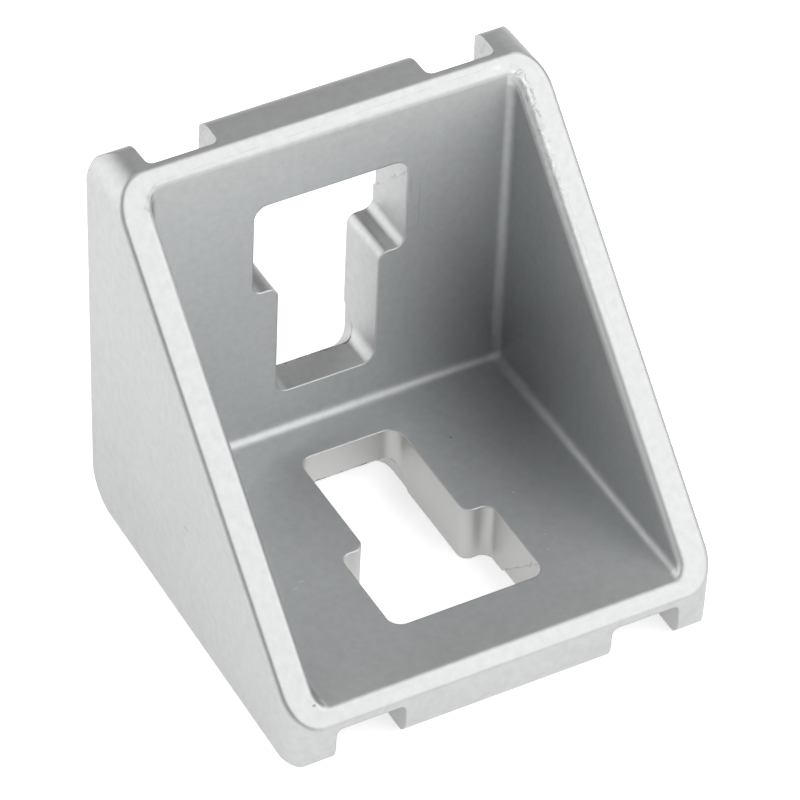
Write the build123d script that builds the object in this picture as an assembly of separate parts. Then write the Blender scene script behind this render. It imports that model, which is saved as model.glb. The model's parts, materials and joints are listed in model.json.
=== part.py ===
from build123d import *
import os
from math import radians, sqrt, tan

# T-slot corner bracket: one die-cast aluminium piece, in millimetres, +Z up.
# Two equal legs meet at the heel. The floor leg lies on Z = 0 and reaches towards -Y,
# the back leg stands on +Y, and two side walls close the pocket between them.
# Everything is drawn from the heel, where both contact planes meet, and moved at the end.

# Overall
WIDTH = 38.0              # across the rim, the widest place
LEG = 36.0                # contact plane of one leg to the end face of the other
OUTER_DRAFT = 1.5         # degrees, the side walls' outer faces, from the rim to the heel
HEEL_ROUND = 3.5          # outer corner between the two contact planes
END_ROUND = 1.7           # contact plane to end face, across a foot
LUG_END_ROUND = 1.9       # contact plane to end face, across the lug
CORNER_ROUND = 2.7        # end face to the outer face of a side wall
EDGE_ROUND = 0.5          # contact plane to the outer face of a side wall

# Legs and their contact pads
RECESS = 3.72             # depth of the recesses beside the lug
PLATE = 1.61              # thickness left over a recess
LUG_WIDTH = 18.4          # central contact pad, where the recess starts
FOOT_WIDTH = 3.75         # contact strip under each side wall, where the recess starts
RECESS_DRAFT = 1.5        # degrees, sides of a recess
RECESS_FILLET = 0.6       # root of a recess
PAD_ROUND = 0.35          # edge of a pad beside a recess

# Pocket and rim
RIM_BAND = 1.0            # rim over a leg's end, measured along the leg
SIDE_WALL = 2.85          # side wall at the rim
POCKET_DRAFT = 0.3        # degrees, the side walls' inner faces
POCKET_FILLET = 0.85      # inner edges of the pocket
LIP_ROUND = 0.6           # rim to the pocket
RIM_ROUND = 0.45          # rim to the outer faces

# Keyed slot, one in each leg: its narrow part is next to the heel
SLOT_LAND = 3.96          # pocket's inner face to the narrow end
NARROW_WIDTH = 9.0        # clearance for an M8 screw
WIDE_WIDTH = 13.6         # lets the 13 mm head of an M8 screw through
WIDE_LENGTH = 8.9
END_LAND = 6.5            # wide end to the leg's end face
SLOT_CORNER = 1.2         # corners of the slot at its two ends
STEP_ROUND = 0.9          # the two bends of each step
CORE_DEPTH = 3.0          # straight depth of the narrow end before it turns 45 degrees
CORE_STEP = 0.15          # step, on each side of the narrow end, where the outer die's core takes over
CORE_DRAFT = 2.0          # degrees, what the outer die's core leaves in the wide end

CLEAR = 2.0               # how far a cutting solid runs past what it cuts

inner_face = RECESS + PLATE                     # contact plane to the pocket's inner face
rim_sum = LEG + inner_face - RIM_BAND           # distance from both contact planes, added up
end_face = rim_sum - LEG                        # contact plane to the rim, at a leg's end
heel_depth = rim_sum / sqrt(2)                  # rim plane to the heel

slot_start = inner_face + SLOT_LAND
slot_end = LEG - END_LAND
slot_step = slot_end - WIDE_LENGTH

# The two legs mirror each other in this plane: its X is across, its Y runs from the rim to the heel.
across_rim = Plane(origin=(0, -rim_sum / 2, rim_sum / 2), x_dir=(1, 0, 0), z_dir=(0, 1, 1))
across_heel = Plane(origin=(0, 0, 0), x_dir=(1, 0, 0), z_dir=(0, 1, 1))


def side_profile(heel_round, end_round):
    """The bracket's outline from the side, with Y and Z measured from the heel."""
    heel, top, bottom = (0, 0), (0, LEG), (-LEG, 0)
    outline = Polyline(heel, top, (-end_face, LEG), (-LEG, end_face), bottom, close=True)
    face = make_face(Plane.YZ * outline)

    def corner(at):
        return face.vertices().sort_by_distance((0, *at))[0]

    if heel_round:
        face = fillet(corner(heel), heel_round)
    if end_round:
        face = fillet([corner(top), corner(bottom)], end_round)
    return face


def drafted_block(width, draft):
    """A long block, as wide as said at the rim, that narrows by the draft towards the heel."""
    above, below = -2 * CLEAR, heel_depth + CLEAR
    slope = tan(radians(draft))
    wide, slim = width / 2 - slope * above, width / 2 - slope * below
    outline = Polyline((-wide, above), (wide, above), (slim, below), (-slim, below), close=True)
    return extrude(across_rim * make_face(outline), 2 * LEG, both=True)


def outer_body():
    """Solid outer form, with the drafted side faces and all outer rounds."""
    sharp = extrude(side_profile(HEEL_ROUND, 0), WIDTH, both=True)
    body = sharp & drafted_block(WIDTH, OUTER_DRAFT)
    ends = body.faces().filter_by(lambda face: face.center().Z > LEG - 0.01 or face.center().Y < 0.01 - LEG)
    body = fillet(ends.edges().filter_by(lambda edge: abs(edge.center().X) > 0.01), CORNER_ROUND)
    contact = body.faces().filter_by(lambda face: abs(face.center().X) < 0.01).filter_by(
        lambda face: -face.center().Y < HEEL_ROUND or face.center().Z < HEEL_ROUND)
    body = fillet(contact.edges().filter_by(lambda edge: abs(edge.center().X) > 0.01), EDGE_ROUND)
    return body & extrude(side_profile(HEEL_ROUND, END_ROUND), WIDTH, both=True)


def lug_ends():
    """What the larger round takes off the lug at both legs' ends."""
    reach = LUG_WIDTH / 2 + CLEAR / 2
    sharp = extrude(side_profile(HEEL_ROUND, 0), reach, both=True)
    return sharp - extrude(side_profile(HEEL_ROUND, LUG_END_ROUND), reach, both=True)


def pocket():
    """Cutting solid for the pocket, with its inner edges rounded."""
    open_end = rim_sum - inner_face + CLEAR
    corner = (-inner_face, inner_face)
    section = Polyline(corner, (-open_end, inner_face), (-inner_face, open_end), close=True)
    prism = extrude(make_face(Plane.YZ * section), WIDTH, both=True)
    tool = prism & drafted_block(WIDTH - 2 * SIDE_WALL, POCKET_DRAFT)
    walls = tool.faces().filter_by(Axis.Y) + tool.faces().filter_by(Axis.Z)
    edges = [edge for edge in walls.edges() if (rim_sum + edge.center().Y - edge.center().Z) > 0.01]
    return fillet(edges, POCKET_FILLET)


def recess():
    """Cutting solid for the floor leg's recess on the +X side, between its lug and its foot."""
    lug_side = LUG_WIDTH / 2
    foot_side = WIDTH / 2 - FOOT_WIDTH
    flare = RECESS * tan(radians(RECESS_DRAFT))
    mouth = 2 * PAD_ROUND
    section = make_face(Plane.XZ * Polyline(
        (lug_side, RECESS), (lug_side - flare, 0), (lug_side - flare - mouth, 0),
        (lug_side - flare - mouth, -CLEAR), (foot_side + flare + mouth, -CLEAR),
        (foot_side + flare + mouth, 0), (foot_side + flare, 0), (foot_side, RECESS), close=True))

    def corners(height):
        at = section.vertices().filter_by(lambda vertex: abs(vertex.Z - height) < 0.01)
        return at.sort_by(Axis.X)

    section = fillet(corners(0)[1:3], PAD_ROUND)
    section = fillet(corners(RECESS), RECESS_FILLET)
    return extrude(section, LEG + CLEAR, dir=(0, -1, 0)) + extrude(section, CLEAR, dir=(0, 1, 0))


def keyed_slot():
    """Cutting solid for the floor leg's slot."""
    narrow, wide = NARROW_WIDTH / 2, WIDE_WIDTH / 2
    outline = make_face(Polyline(
        (-narrow, -slot_start), (-narrow, -slot_step), (-wide, -slot_step), (-wide, -slot_end),
        (wide, -slot_end), (wide, -slot_step), (narrow, -slot_step), (narrow, -slot_start), close=True))

    def corners(distance):
        return outline.vertices().filter_by(lambda vertex: abs(vertex.Y + distance) < 0.01)

    outline = fillet(corners(slot_step), min(STEP_ROUND, 0.45 * (wide - narrow)))
    outline = fillet(corners(slot_start) + corners(slot_end), SLOT_CORNER)
    through = extrude(Pos(0, 0, -CLEAR) * outline, inner_face + 2 * CLEAR)

    # The outer die's core shapes the wide end, up to a line at 45 degrees.
    line = SLOT_CORNER - slot_end
    far = -slot_end - CLEAR
    wedge = make_face(Plane.YZ * Polyline(
        (line - CLEAR, inner_face + CLEAR), (line + inner_face + CLEAR, -CLEAR),
        (far, -CLEAR), (far, inner_face + CLEAR), close=True))
    wedge = extrude(wedge, WIDE_WIDTH, both=True)
    slope = tan(radians(CORE_DRAFT))
    top, foot = wide - slope * CLEAR, wide + slope * (inner_face + CLEAR)
    section = make_face(Plane.XZ * Polyline(
        (-top, inner_face + CLEAR), (top, inner_face + CLEAR), (foot, -CLEAR), (-foot, -CLEAR), close=True))
    core = extrude(section, slot_end, dir=(0, -1, 0))
    ends = core.edges().filter_by(lambda edge: abs(edge.center().X) > narrow)
    core = fillet(ends.group_by(Axis.Y)[0], SLOT_CORNER) & wedge

    # Under the core's straight depth the narrow end leans back at 45 degrees, as the outer die pulls.
    turn = inner_face - CORE_DEPTH
    pull = Plane(origin=(0, -slot_start, turn), x_dir=(1, 0, 0), z_dir=(0, 1, -1))
    tip = Pos(0, narrow) * Rectangle(NARROW_WIDTH + 2 * CORE_STEP, NARROW_WIDTH)
    tip = fillet(tip.vertices().sort_by(Axis.Y)[:2], SLOT_CORNER)
    lean = extrude(pull * tip, 2 * turn + CLEAR)
    return through - wedge + core + lean


def on_both_legs(tool):
    """The floor leg's cutting solid and its mirror image for the back leg."""
    return [tool, mirror(tool, about=across_heel)]


def round_rim(body):
    """Round the rim's edges, inside and outside."""
    rim = body.edges().filter_by(lambda edge: abs(rim_sum + edge.center().Y - edge.center().Z) < 0.01)
    mouth = WIDTH / 2 - SIDE_WALL
    inner = [edge for edge in rim if abs(edge.center().X) < mouth + 0.01
             and inner_face - 0.01 < -edge.center().Y < rim_sum - inner_face + 0.01]
    body = fillet(inner, LIP_ROUND)
    rim = body.edges().filter_by(lambda edge: abs(rim_sum + edge.center().Y - edge.center().Z) < 0.01)
    outer = [edge for edge in rim if abs(edge.center().X) > WIDTH / 2 - CORNER_ROUND
             or not inner_face - LIP_ROUND < -edge.center().Y < rim_sum - inner_face + LIP_ROUND]
    return fillet(outer, RIM_ROUND)


bracket = outer_body() - pocket() - lug_ends()
side = recess()
for tool in on_both_legs(side) + on_both_legs(mirror(side, about=Plane.YZ)) + on_both_legs(keyed_slot()):
    bracket -= tool
bracket = Pos(0, LEG / 2, 0) * round_rim(bracket)

os.makedirs("parts", exist_ok=True)
export_step(bracket, "parts/corner_bracket.step")
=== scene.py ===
# %% [markdown]
# # T-slot corner bracket
# The bracket is one die-cast aluminium piece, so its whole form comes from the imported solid. What is
# left for Blender is the finish: the satin skin that blasting gives a casting, its soft edges, the
# witness lines of the die and a few handling marks, and a studio that shows them. The solid loads
# first, because everything else takes its place from it.

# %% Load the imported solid
import json
from math import cos, pi, sin, sqrt

import bmesh
import bpy
from mathutils import Matrix, Vector


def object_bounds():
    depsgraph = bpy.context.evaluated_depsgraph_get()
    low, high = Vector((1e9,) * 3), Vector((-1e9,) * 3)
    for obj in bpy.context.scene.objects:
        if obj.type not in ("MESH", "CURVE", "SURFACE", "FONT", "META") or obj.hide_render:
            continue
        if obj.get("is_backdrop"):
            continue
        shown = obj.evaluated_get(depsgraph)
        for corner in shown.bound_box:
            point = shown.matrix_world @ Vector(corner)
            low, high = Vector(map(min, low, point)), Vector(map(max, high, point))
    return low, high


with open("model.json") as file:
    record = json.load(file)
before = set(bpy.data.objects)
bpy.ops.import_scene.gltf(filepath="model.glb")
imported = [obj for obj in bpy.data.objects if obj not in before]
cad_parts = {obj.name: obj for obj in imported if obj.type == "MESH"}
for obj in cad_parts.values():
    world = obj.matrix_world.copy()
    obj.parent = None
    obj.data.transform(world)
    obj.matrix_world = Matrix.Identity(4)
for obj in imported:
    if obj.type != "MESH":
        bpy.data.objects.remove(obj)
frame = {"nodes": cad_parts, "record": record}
solid_low, solid_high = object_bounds()
bracket = frame["nodes"]["corner_bracket"]
MM = 0.001
width, depth, height = (solid_high - solid_low) / MM
print(f"bracket {width:.1f} x {depth:.1f} x {height:.1f} mm")

# %% [markdown]
# ## Camera
# A long lens from a little under half a metre keeps the two legs nearly parallel in the picture, as in
# a catalogue shot. The camera looks down into the pocket from the left of its open side, and it is
# rolled by a few degrees.

# %% Camera
look_from = Vector((-177.8, -301.0, 333.8)) * MM
look_at = Vector((0.0, 0.7, 16.54)) * MM
roll = 0.0457
forward = (look_at - look_from).normalized()
level_right = forward.cross(Vector((0, 0, 1))).normalized()
level_up = level_right.cross(forward)
right = level_right * cos(roll) + level_up * sin(roll)
up = level_up * cos(roll) - level_right * sin(roll)
camera_data = bpy.data.cameras.new("camera")
camera_data.sensor_width = 36.0
camera_data.lens = 272.36
camera = bpy.data.objects.new("camera", camera_data)
camera.matrix_world = Matrix.Translation(look_from) @ Matrix((right, up, -forward)).transposed().to_4x4()
bpy.context.scene.collection.objects.link(camera)
bpy.context.scene.camera = camera
print(f"camera at {(look_from - look_at).length / MM:.0f} mm")

# %% [markdown]
# ## Node helpers
# A material is a graph of nodes. Written out in full, each node takes several lines, so three small
# helpers keep the graphs readable: one starts a material, one adds a node and fills or links its
# inputs, and one adds a Math node and gives back its result.

# %% Node helpers
def new_material(name):
    """An empty node material and its node tree."""
    material = bpy.data.materials.new(name)
    material.use_nodes = True
    material.node_tree.nodes.clear()
    return material, material.node_tree


def add(tree, kind, inputs=None, **settings):
    """Add a node, set its properties, and fill or link its inputs."""
    node = tree.nodes.new(kind)
    for key, value in settings.items():
        setattr(node, key, value)
    for key, value in (inputs or {}).items():
        if isinstance(value, bpy.types.NodeSocket):
            tree.links.new(value, node.inputs[key])
        else:
            node.inputs[key].default_value = value
    return node


def calc(tree, operation, *values):
    """The result of one Math node."""
    return add(tree, "ShaderNodeMath", dict(enumerate(values)), operation=operation).outputs[0]


print("node helpers: new_material, add, calc")

# %% [markdown]
# ## Studio
# Satin metal shows its surroundings more than its own colour, so the room is as much a part of the
# finish as the material is. A pale floor lights the faces that look down and to the front. One large
# soft box in front on the right shines on the sloping rim, and a second one behind on the left shines
# on the left side. Three smaller, weaker ones fill in from the left, the right and the back, so that no
# face goes black. The rest of the room is nearly dark, which is what makes the inside corner of the
# pocket dark.

# %% World
world = bpy.data.worlds.new("studio")
bpy.context.scene.world = world
world.use_nodes = True
sky = world.node_tree
sky.nodes.clear()
room = add(sky, "ShaderNodeBackground", {"Color": (1.0, 1.0, 1.0, 1), "Strength": 0.05})
add(sky, "ShaderNodeOutputWorld", {"Surface": room.outputs[0]})
print(f"room at {room.inputs['Strength'].default_value:.2f} of white")


# %% Soft boxes
def soft_box(name, towards, size, brightness):
    """A square lamp, a metre away, that faces the bracket. Its brightness is what a mirror would show."""
    data = bpy.data.lights.new(name, "AREA")
    data.shape = "SQUARE"
    data.size = size
    data.energy = pi * size * size * brightness
    lamp = bpy.data.objects.new(name, data)
    direction = Vector(towards).normalized()
    lamp.location = look_at + direction
    lamp.rotation_mode = "QUATERNION"
    lamp.rotation_quaternion = direction.to_track_quat("Z", "Y")
    lamp.visible_camera = False
    bpy.context.scene.collection.objects.link(lamp)
    print(f"{name}: {data.energy:.2f} W")


soft_box("front_right_box", (0.44, -0.62, 0.64), 1.2, 2.28)
soft_box("back_left_box", (-0.68, 0.53, 0.5), 1.2, 1.93)
soft_box("left_box", (-0.88, -0.28, 0.38), 0.8, 0.48)
soft_box("right_box", (0.55, 0.07, 0.83), 0.8, 1.2)
soft_box("back_right_box", (0.6, 0.75, 0.3), 0.8, 0.64)

# %% [markdown]
# The floor is a sheet of white paper that reaches past everything the camera can see. Lit paper alone
# would look grey, so it also glows a little, but only for the camera and for reflections: the glow
# lifts the background towards white without adding light to the scene, and the paper still takes the
# bracket's shadow.

# %% Floor
floor_reach = 3.0                     # metres, from the middle to each edge
floor_gap = 0.02 * MM                 # keeps the floor and the contact side from sharing a plane
paper_glow = 0.61
sheet = bmesh.new()
bmesh.ops.create_grid(sheet, x_segments=1, y_segments=1, size=floor_reach)
bmesh.ops.translate(sheet, verts=sheet.verts, vec=(0, 0, solid_low.z - floor_gap))
floor_mesh = bpy.data.meshes.new("floor")
sheet.to_mesh(floor_mesh)
sheet.free()
floor = bpy.data.objects.new("floor", floor_mesh)
bpy.context.scene.collection.objects.link(floor)
floor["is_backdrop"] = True
paper, tree = new_material("white_paper")
rays = add(tree, "ShaderNodeLightPath")
seen = calc(tree, "MAXIMUM", rays.outputs["Is Camera Ray"], rays.outputs["Is Glossy Ray"])
seen = calc(tree, "MAXIMUM", seen, rays.outputs["Is Transmission Ray"])
glow = add(
    tree, "ShaderNodeEmission",
    {"Color": (1, 1, 1, 1), "Strength": calc(tree, "MULTIPLY", seen, paper_glow)})
matt = add(tree, "ShaderNodeBsdfDiffuse", {"Color": (0.85, 0.85, 0.85, 1)})
both = add(tree, "ShaderNodeAddShader", {0: matt.outputs[0], 1: glow.outputs[0]})
add(tree, "ShaderNodeOutputMaterial", {"Surface": both.outputs[0]})
floor_mesh.materials.append(paper)
print(f"floor {2 * floor_reach:.0f} m square")

# %% [markdown]
# ## Places on the casting
# The finish changes with the place: the rim carries the line where the two halves of the die met, and
# the slots were cut by a core that wears differently from the rest. A mask is a number between 0 and 1
# that says where such a thing is. All masks read Object coordinates, here in millimetres, so that they
# stay on the metal from every side and in every pose.

# %% Coordinates in millimetres
skin, tree = new_material("satin_cast_aluminium")
coords = add(tree, "ShaderNodeTexCoord").outputs["Object"]
place = add(tree, "ShaderNodeVectorMath", {0: coords, "Scale": 1 / MM}, operation="SCALE").outputs[0]
x, y, z = add(tree, "ShaderNodeSeparateXYZ", {0: place}).outputs
surface = add(tree, "ShaderNodeNewGeometry")
normal = add(tree, "ShaderNodeSeparateXYZ", {0: surface.outputs["Normal"]})


def fade(value, full, none):
    """1 where the value is at or under full, 0 from none on, and smooth in between."""
    node = add(
        tree, "ShaderNodeMapRange",
        {"Value": value, "From Min": full, "From Max": none, "To Min": 1.0, "To Max": 0.0},
        interpolation_type="SMOOTHSTEP")
    return node.outputs["Result"]


def beyond(value, none, full):
    """0 where the value is at or under none, 1 from full on, and smooth in between."""
    return calc(tree, "SUBTRACT", 1.0, fade(value, none, full))


def noise(period, detail=2.0):
    """Noise between 0 and 1, about 0.5 on average, whose lumps are a period (mm) apart."""
    settings = {"Vector": coords, "Scale": 1 / (period * MM), "Detail": detail, "Roughness": 0.55}
    return add(tree, "ShaderNodeTexNoise", settings).outputs["Fac"]


def spot(centre, radii):
    """A soft ellipsoid: a dent, a speck, or a short stroke if it is long and thin."""
    offset = add(tree, "ShaderNodeVectorMath", {0: place, 1: centre}, operation="SUBTRACT").outputs[0]
    offset = add(tree, "ShaderNodeVectorMath", {0: offset, 1: radii}, operation="DIVIDE").outputs[0]
    length = add(tree, "ShaderNodeVectorMath", {0: offset}, operation="LENGTH").outputs["Value"]
    return fade(length, 0.5, 1.0)


def highest(*masks):
    """The highest of several masks."""
    result = masks[0]
    for mask in masks[1:]:
        result = calc(tree, "MAXIMUM", result, mask)
    return result


print(f"coordinates and normals: {len(tree.nodes)} nodes")

# %% [markdown]
# The rim is the sloping plane that faces the camera. How far a point lies under it is a simple sum of
# its coordinates, and the highest value that the solid's own points reach is the plane itself. Along
# the slope, the place is another such sum, measured from the rim's middle.

# %% Rim coordinates
rim_level = max(vertex.co.z - vertex.co.y for vertex in bracket.data.vertices) / MM
rim_middle = (solid_high.y + solid_low.z) / MM
under_rim = calc(tree, "DIVIDE", calc(tree, "SUBTRACT", rim_level, calc(tree, "SUBTRACT", z, y)), sqrt(2))
along = calc(tree, "DIVIDE", calc(tree, "SUBTRACT", calc(tree, "ADD", y, z), rim_middle), sqrt(2))
on_rim = fade(under_rim, 0.25, 0.6)
print(f"rim plane at {rim_level:.2f} mm")

# %% Pocket coordinates
side_wall = 2.85
leg_thickness = 5.33
pocket_half_width = width / 2 - side_wall
pocket_back = solid_high.y / MM - leg_thickness
pocket_floor = solid_low.z / MM + leg_thickness
pocket_end = (2 * pocket_back + rim_level - rim_middle) / sqrt(2)
depth_in_leg = highest(calc(tree, "SUBTRACT", y, pocket_back), calc(tree, "SUBTRACT", pocket_floor, z))
beyond_side = calc(tree, "SUBTRACT", calc(tree, "ABSOLUTE", x), pocket_half_width + 0.1)
# Painted reflection: this mask of the pocket's faces carries the cooler tint that stands in for light
# bounced between the walls.
in_pocket = fade(highest(depth_in_leg, beyond_side), 0.02, 0.1)
in_pocket = calc(tree, "MULTIPLY", in_pocket, beyond(under_rim, 0.0, 3.0))
print(f"pocket {2 * pocket_half_width:.1f} mm wide")

# %% [markdown]
# ### The witness line
# Molten metal creeps a hair's breadth into the joint round the die's core and leaves a thin fin round
# the mouth of the pocket. The fin is trimmed off, which leaves a fine line on the rim, along the upper
# end and down the right side, where the joint was open. The line follows a rectangle with round
# corners, turned by a degree as the core was, so its mask starts from the distance to such a rectangle.
# A little noise makes it waver and breaks it up.

# %% Joint of the core
def rectangle_distance(across, lengthways, half_width, half_length, corner):
    """Distance in millimetres from a rectangle with round corners, negative inside it."""
    side = calc(tree, "SUBTRACT", calc(tree, "ABSOLUTE", across), half_width - corner)
    end = calc(tree, "SUBTRACT", calc(tree, "ABSOLUTE", lengthways), half_length - corner)
    side_out = calc(tree, "MAXIMUM", side, 0.0)
    end_out = calc(tree, "MAXIMUM", end, 0.0)
    squares = calc(tree, "ADD", calc(tree, "POWER", side_out, 2.0), calc(tree, "POWER", end_out, 2.0))
    inside = calc(tree, "MINIMUM", calc(tree, "MAXIMUM", side, end), 0.0)
    return calc(tree, "SUBTRACT", calc(tree, "ADD", calc(tree, "SQRT", squares), inside), corner)


core_gap = 0.65           # from the edge of the pocket to the joint round the core
core_turn = 0.0175        # radians
core_across = calc(tree, "SUBTRACT", calc(tree, "ADD", x, calc(tree, "MULTIPLY", along, core_turn)), 0.37)
core_along = calc(tree, "SUBTRACT", along, calc(tree, "MULTIPLY", x, core_turn))
ring = rectangle_distance(core_across, core_along, pocket_half_width + core_gap, pocket_end + core_gap, 2.2)
right_side = beyond(core_across, 13.0, 15.5)
upper_end = beyond(core_along, 18.5, 20.5)
print(f"joint of the core {2 * (pocket_half_width + core_gap):.1f} mm wide")

# %% Witness line
waver = calc(tree, "MULTIPLY", calc(tree, "SUBTRACT", noise(0.9, 3.0), 0.5), 0.15)
off_line = calc(tree, "ABSOLUTE", calc(tree, "ADD", ring, waver))
open_joint = highest(upper_end, calc(tree, "MULTIPLY", right_side, beyond(along, -8.0, 8.0)))
kept = beyond(noise(3.0), 0.38, 0.52)
line = calc(tree, "MULTIPLY", fade(off_line, 0.01, 0.07), calc(tree, "MULTIPLY", on_rim, open_joint))
line = calc(tree, "MULTIPLY", line, kept)
print("witness line: along the upper end and down the right side")

# %% [markdown]
# Where the trim tore instead of cutting, it left scribbles and bright flecks beside the line, most of
# them at the upper right corner and for some way down from it. A scribble is the place where a noise
# crosses its middle value, which makes thin, winding lines.

# %% Torn places
scribble = fade(calc(tree, "ABSOLUTE", calc(tree, "SUBTRACT", noise(0.9, 3.0), 0.5)), 0.008, 0.03)
beside = fade(calc(tree, "ABSOLUTE", calc(tree, "ADD", ring, 0.1)), 0.25, 0.5)
torn_places = highest(
    spot((16.8, 10.9, 33.2), (1.3, 2.4, 2.4)),
    spot((16.4, 12.4, 34.7), (1.0, 1.3, 1.3)),
    calc(tree, "MULTIPLY", spot((16.9, 7.5, 29.8), (1.4, 4.5, 4.5)), 0.5),
    calc(tree, "MULTIPLY", spot((-16.4, 11.9, 34.3), (0.8, 1.2, 1.2)), 0.6))
chips = calc(tree, "MULTIPLY", scribble, beside)
chips = calc(tree, "MULTIPLY", chips, calc(tree, "MULTIPLY", torn_places, on_rim))
lip = fade(calc(tree, "ABSOLUTE", calc(tree, "ADD", ring, core_gap)), 0.4, 0.8)
lip = calc(tree, "MULTIPLY", lip, fade(under_rim, 0.6, 0.9))
flecks = calc(tree, "MULTIPLY", beyond(noise(0.5, 5.0), 0.5, 0.6), calc(tree, "MULTIPLY", lip, right_side))
flecks = calc(tree, "MULTIPLY", flecks, beyond(along, 0.0, 10.0))
print(f"torn places and lip: {len(tree.nodes)} nodes so far")

# %% [markdown]
# The lips of the side walls get a painted highlight: their colour is brighter than the blasted skin,
# standing in for the light they reflect. The flat rim has to stay out of it, and so do the upper and the
# front lip. The direction of the surface tells them apart: the rim faces straight out, and the side lips
# turn towards the middle.

# %% Lip of the pocket
rim_facing = add(
    tree, "ShaderNodeVectorMath",
    {0: surface.outputs["Normal"], 1: (0.0, -sqrt(0.5), sqrt(0.5))},
    operation="DOT_PRODUCT").outputs["Value"]
side_lip = beyond(calc(tree, "ABSOLUTE", normal.outputs["X"]), 0.05, 0.3)
# Painted highlight: this mask lightens the side lips' colour in place of the light they reflect.
painted_lip_highlight = calc(tree, "MULTIPLY", calc(tree, "MULTIPLY", lip, side_lip), fade(rim_facing, 0.85, 0.99))
print("painted_highlight lips: left and right")

# %% [markdown]
# ### The slots
# The slots' walls are the bare face of their core: a little smoother than the blasted skin, and in the
# base slot a little warmer and brighter too.
# The record gives each slot as a box for the screw that goes through it. A point is on a slot's wall if
# it lies just outside that box and faces across it, so the mask takes the boxes, a little larger, and
# the direction of the surface.

# %% Slot walls
slot_walls = {"base": [], "back": []}
for opening in frame["record"]["physics"]["openings"]:
    leg, kind = opening["name"].split("_")[:2]
    if kind != "slot":
        continue
    low, high = (Vector(corner) / MM for corner in opening["box_m"])
    centre, half = (low + high) / 2, (high - low) / 2 + Vector((0.6, 1.2, 1.2))
    offset = add(tree, "ShaderNodeVectorMath", {0: place, 1: centre}, operation="SUBTRACT").outputs[0]
    offset = add(tree, "ShaderNodeVectorMath", {0: offset, 1: half}, operation="DIVIDE").outputs[0]
    offset = add(tree, "ShaderNodeVectorMath", {0: offset}, operation="ABSOLUTE").outputs[0]
    within = fade(highest(*add(tree, "ShaderNodeSeparateXYZ", {0: offset}).outputs), 0.999, 1.001)
    through = normal.outputs["Z" if leg == "base" else "Y"]
    across = fade(calc(tree, "ABSOLUTE", through), 0.5, 0.75)
    slot_walls[leg].append(calc(tree, "MULTIPLY", within, across))
base_slot, back_slot = (highest(*slot_walls[leg]) for leg in ("base", "back"))
slot_wall = highest(base_slot, back_slot)
print(f"slot boxes: {sum(len(walls) for walls in slot_walls.values())}")

# %% [markdown]
# Each slot has a core from either side, and they meet along planes at 45 degrees, the same ones for
# both slots. A thread of flash stands where they met at the narrow end: a thin, ragged line that breaks
# off in places. At the wide end it is fainter.

# %% Flash in the slots
core_depth = 3.0
slot_land = 3.96
narrow_plane = pocket_back + core_depth - slot_land - pocket_floor
wide_plane = 16.19
off_narrow = calc(tree, "SUBTRACT", calc(tree, "SUBTRACT", y, z), narrow_plane)
off_wide = calc(tree, "SUBTRACT", calc(tree, "ABSOLUTE", along), wide_plane)
ragged = calc(tree, "MULTIPLY", calc(tree, "SUBTRACT", noise(0.7, 4.0), 0.5), 0.9)


def thread(off_plane):
    """A ragged line on the slots' walls, where they cross the plane."""
    off_thread = calc(tree, "ABSOLUTE", calc(tree, "ADD", off_plane, ragged))
    return calc(tree, "MULTIPLY", fade(off_thread, 0.03, 0.14), slot_wall)


flash = calc(tree, "MULTIPLY", thread(off_narrow), beyond(noise(1.7), 0.36, 0.46))
faint_flash = calc(tree, "MULTIPLY", thread(off_wide), beyond(noise(1.7), 0.45, 0.55))
print(f"cores meet where y - z is {narrow_plane:.2f} mm, and {wide_plane} mm along the slope")

# %% [markdown]
# ### Marks
# A part that has been tumbled, packed and handled isn't spotless. Two short lines beside the back slot
# are the joint of the slot's own core, and a pit, a few bright specks and a scratch or two are wear.

# %% Marks
core_joint = highest(
    spot((7.2, pocket_back, 26.4), (0.07, 0.4, 1.6)),
    spot((8.02, pocket_back, 24.6), (0.06, 0.4, 3.4)))
pits = highest(
    spot((7.82, 5.64, pocket_floor), (0.15, 0.17, 0.3)),
    spot((-18.7, 0.6, 10.8), (0.6, 0.65, 0.1)),
    spot((-16.58, -16.58, 5.75), (0.2, 0.12, 0.12)))
specks = highest(
    spot((9.09, -2.3, pocket_floor), (0.16, 0.1, 0.3)),
    spot((8.28, -9.24, pocket_floor), (0.14, 0.1, 0.3)),
    spot((8.95, -7.6, pocket_floor), (0.1, 0.1, 0.3)),
    spot((-10.8, -3.7, pocket_floor), (0.35, 0.08, 0.3)),
    spot((-11.55, -4.2, pocket_floor), (0.25, 0.07, 0.3)),
    spot((-5.7, pocket_back, 20.7), (0.8, 0.25, 0.16)))
print(f"marks: {len(tree.nodes)} nodes so far")

# %% [markdown]
# The upper ends of the lugs behind the rim are a little blotchy. The mask takes faces that look
# sideways, behind the pocket and near the top, but leaves out the outer side faces. It stays faint.

# %% Blotches on the lugs' ends
sideways = beyond(calc(tree, "ABSOLUTE", normal.outputs["X"]), 0.7, 0.9)
lug_end = calc(tree, "MULTIPLY", sideways, beyond(y, 15.6, 16.2))
lug_end = calc(tree, "MULTIPLY", lug_end, fade(calc(tree, "ABSOLUTE", x), 17.0, 17.2))
lug_end = calc(tree, "MULTIPLY", lug_end, beyond(z, 28.0, 34.0))
blotches = calc(tree, "MULTIPLY", lug_end, beyond(noise(0.8, 3.0), 0.45, 0.6))
print("blotches: from 28 mm up")
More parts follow.
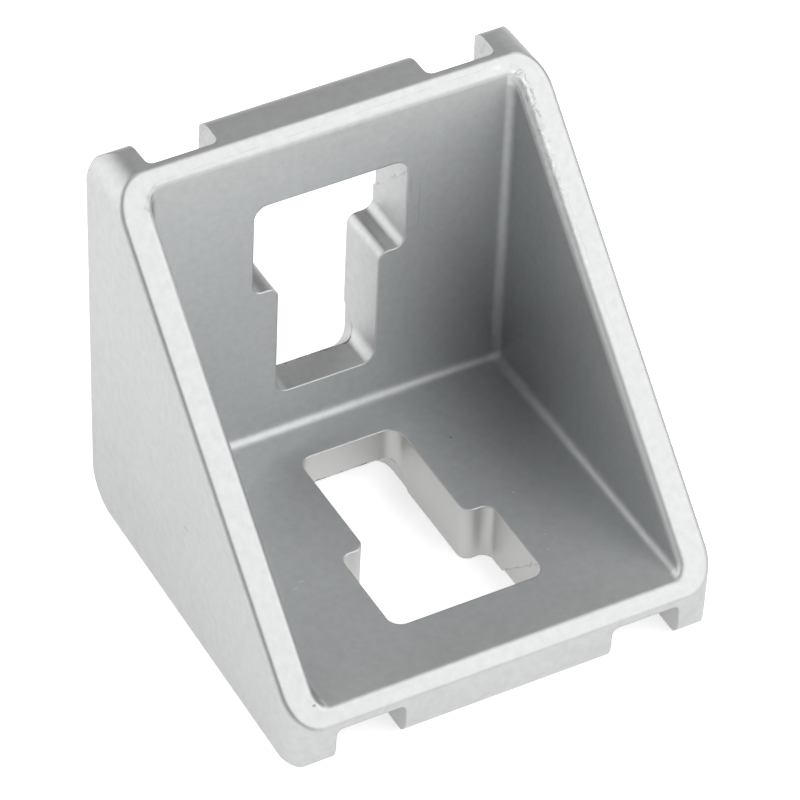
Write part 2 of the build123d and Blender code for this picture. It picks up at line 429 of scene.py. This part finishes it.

# %% [markdown]
# ## Satin cast aluminium
# Blasting leaves a fine, even matt skin: reflections are wide and soft, and the colour is a cool light
# grey. Three things keep it from looking like plastic. The tone drifts over the faces and is finely
# mottled, the sharp edges get a painted highlight, a lighter colour that stands in for the light they
# catch, and grain a few tenths of a millimetre across breaks up the reflections. Blender's Bevel node gives
# a normal that turns round each edge. Where it differs from the flat one there is an edge, and that is
# where the painted highlight goes; the same normal also lets the edge catch the light as a real one does.

# %% Sharp edges, with a painted highlight
edge_radius = 0.2                     # millimetres
edge = add(tree, "ShaderNodeBevel", {"Radius": edge_radius * MM}, samples=8)
sharpness = add(
    tree, "ShaderNodeVectorMath", {0: edge.outputs[0], 1: surface.outputs["Normal"]},
    operation="DOT_PRODUCT").outputs["Value"]
# Painted highlight: this mask lightens the colour along sharp edges in place of the light they catch.
painted_edge_highlight = calc(tree, "MULTIPLY", fade(sharpness, 0.93, 0.995), fade(depth_in_leg, 0.3, 0.5))
print(f"edges look {edge_radius} mm round")

# %% Colour helper
def blend(factor, under, over, way="MIX"):
    """One colour over another."""
    node = add(tree, "ShaderNodeMix", data_type="RGBA", blend_type=way)
    tree.links.new(factor, node.inputs["Factor"])
    for socket, colour in ((node.inputs[6], under), (node.inputs[7], over)):
        if isinstance(colour, bpy.types.NodeSocket):
            tree.links.new(colour, socket)
        else:
            socket.default_value = colour
    return node.outputs[2]


def spread(value, low, high):
    """Noise from 0.3 to 0.7 made to run from low to high."""
    settings = {"Value": value, "From Min": 0.3, "From Max": 0.7, "To Min": low, "To Max": high}
    return add(tree, "ShaderNodeMapRange", settings).outputs["Result"]


def share(mask, part):
    """A mask that reaches only part of the way."""
    return calc(tree, "MULTIPLY", mask, part)


print("colour helpers: blend, spread, share")

# %% [markdown]
# The colour is built up like coats. The drifting tone comes first, then the warmer walls of the base
# slot, a slightly cooler painted tint in the pocket that stands in for light bounced between its walls,
# the painted highlights on the side lips and the edges, and last the dark and the bright marks. Each coat
# has its mask, so that each can be changed by itself.

# %% Tone
slot_colour = (0.57, 0.57, 0.56, 1)
# Painted reflection tint for the pocket, standing in for light bounced between its walls.
painted_bounce_tint = (0.983, 1.0, 1.008, 1)
# Painted highlight colour for the side lips.
painted_lip_highlight_colour = (0.85, 0.855, 0.855, 1)
# Painted highlight colour for the sharp edges.
painted_edge_highlight_colour = (0.8, 0.8, 0.8, 1)
tone = add(tree, "ShaderNodeValToRGB", {"Fac": noise(9.0, 6.0)})
tone.color_ramp.elements[0].position = 0.3
tone.color_ramp.elements[0].color = (0.507, 0.511, 0.512, 1)
tone.color_ramp.elements[1].position = 0.7
tone.color_ramp.elements[1].color = (0.529, 0.533, 0.534, 1)
mottle = spread(noise(0.7, 4.0), 0.955, 1.045)
mottled = add(
    tree, "ShaderNodeVectorMath", {0: tone.outputs["Color"], "Scale": mottle},
    operation="SCALE").outputs[0]
colour = blend(share(base_slot, 0.8), mottled, slot_colour)
# Painted reflection: a cooler tint over the pocket in place of the light bounced between its walls.
colour = blend(in_pocket, colour, painted_bounce_tint, "MULTIPLY")
# Painted highlight on the side lips.
colour = blend(share(painted_lip_highlight, 0.5), colour, painted_lip_highlight_colour)
# Painted highlight along the sharp edges.
colour = blend(share(painted_edge_highlight, 0.5), colour, painted_edge_highlight_colour)
print(f"tone: {len(tree.nodes)} nodes so far")

# %% Colour of the marks
dark_colour = (0.2, 0.2, 0.2, 1)
bright_colour = (0.95, 0.95, 0.95, 1)
dark_marks = highest(
    share(line, 0.15), share(chips, 0.4), share(blotches, 0.2), share(flash, 0.75),
    share(faint_flash, 0.4), share(pits, 0.5), share(core_joint, 0.2))
bright_marks = highest(share(specks, 0.35), share(flecks, 0.2))
colour = blend(dark_marks, colour, dark_colour)
colour = blend(bright_marks, colour, bright_colour)
print("marks: seven dark kinds, two bright ones")

# %% Gloss
rough_low, rough_high = 0.51, 0.53
slot_smoother = 0.03
rough = spread(noise(9.0, 3.0), rough_low, rough_high)
rough = calc(tree, "SUBTRACT", rough, share(slot_wall, slot_smoother))
print(f"roughness {rough_low} to {rough_high}, and {slot_smoother} less in the slots")

# %% [markdown]
# Relief comes last: a Bump node for the grain, and a second one, fed by the first, for the marks that
# stand up or lie deep. A bump moves no surface, so it serves only for things this fine.

# %% Relief
grain_depth = 0.03 * MM
mark_depth = 0.05 * MM
grain = add(
    tree, "ShaderNodeBump",
    {"Height": noise(0.6, 4.0), "Strength": 0.35, "Distance": grain_depth, "Normal": edge.outputs[0]})
raised = highest(flash, share(line, 0.2), share(chips, 0.5), share(flecks, 0.3))
sunk = highest(pits, share(core_joint, 0.3))
mark_height = calc(tree, "SUBTRACT", raised, sunk)
relief = add(
    tree, "ShaderNodeBump",
    {"Height": mark_height, "Strength": 0.6, "Distance": mark_depth, "Normal": grain.outputs["Normal"]})
metal = add(
    tree, "ShaderNodeBsdfPrincipled",
    {"Base Color": colour, "Metallic": 1.0, "Roughness": rough, "Normal": relief.outputs["Normal"]})
add(tree, "ShaderNodeOutputMaterial", {"Surface": metal.outputs[0]})
for slot in bracket.material_slots:
    slot.material = skin
print(f"{skin.name}: {len(tree.nodes)} nodes")

# %% [markdown]
# ## Finish
# The Standard view shows colours as they are written. The bounds of the dressed bracket are taken again
# at the end, as those of the bare solid were at the start; the finish must not change them.

# %% Finish
bpy.context.scene.view_settings.view_transform = "Standard"
low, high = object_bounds()
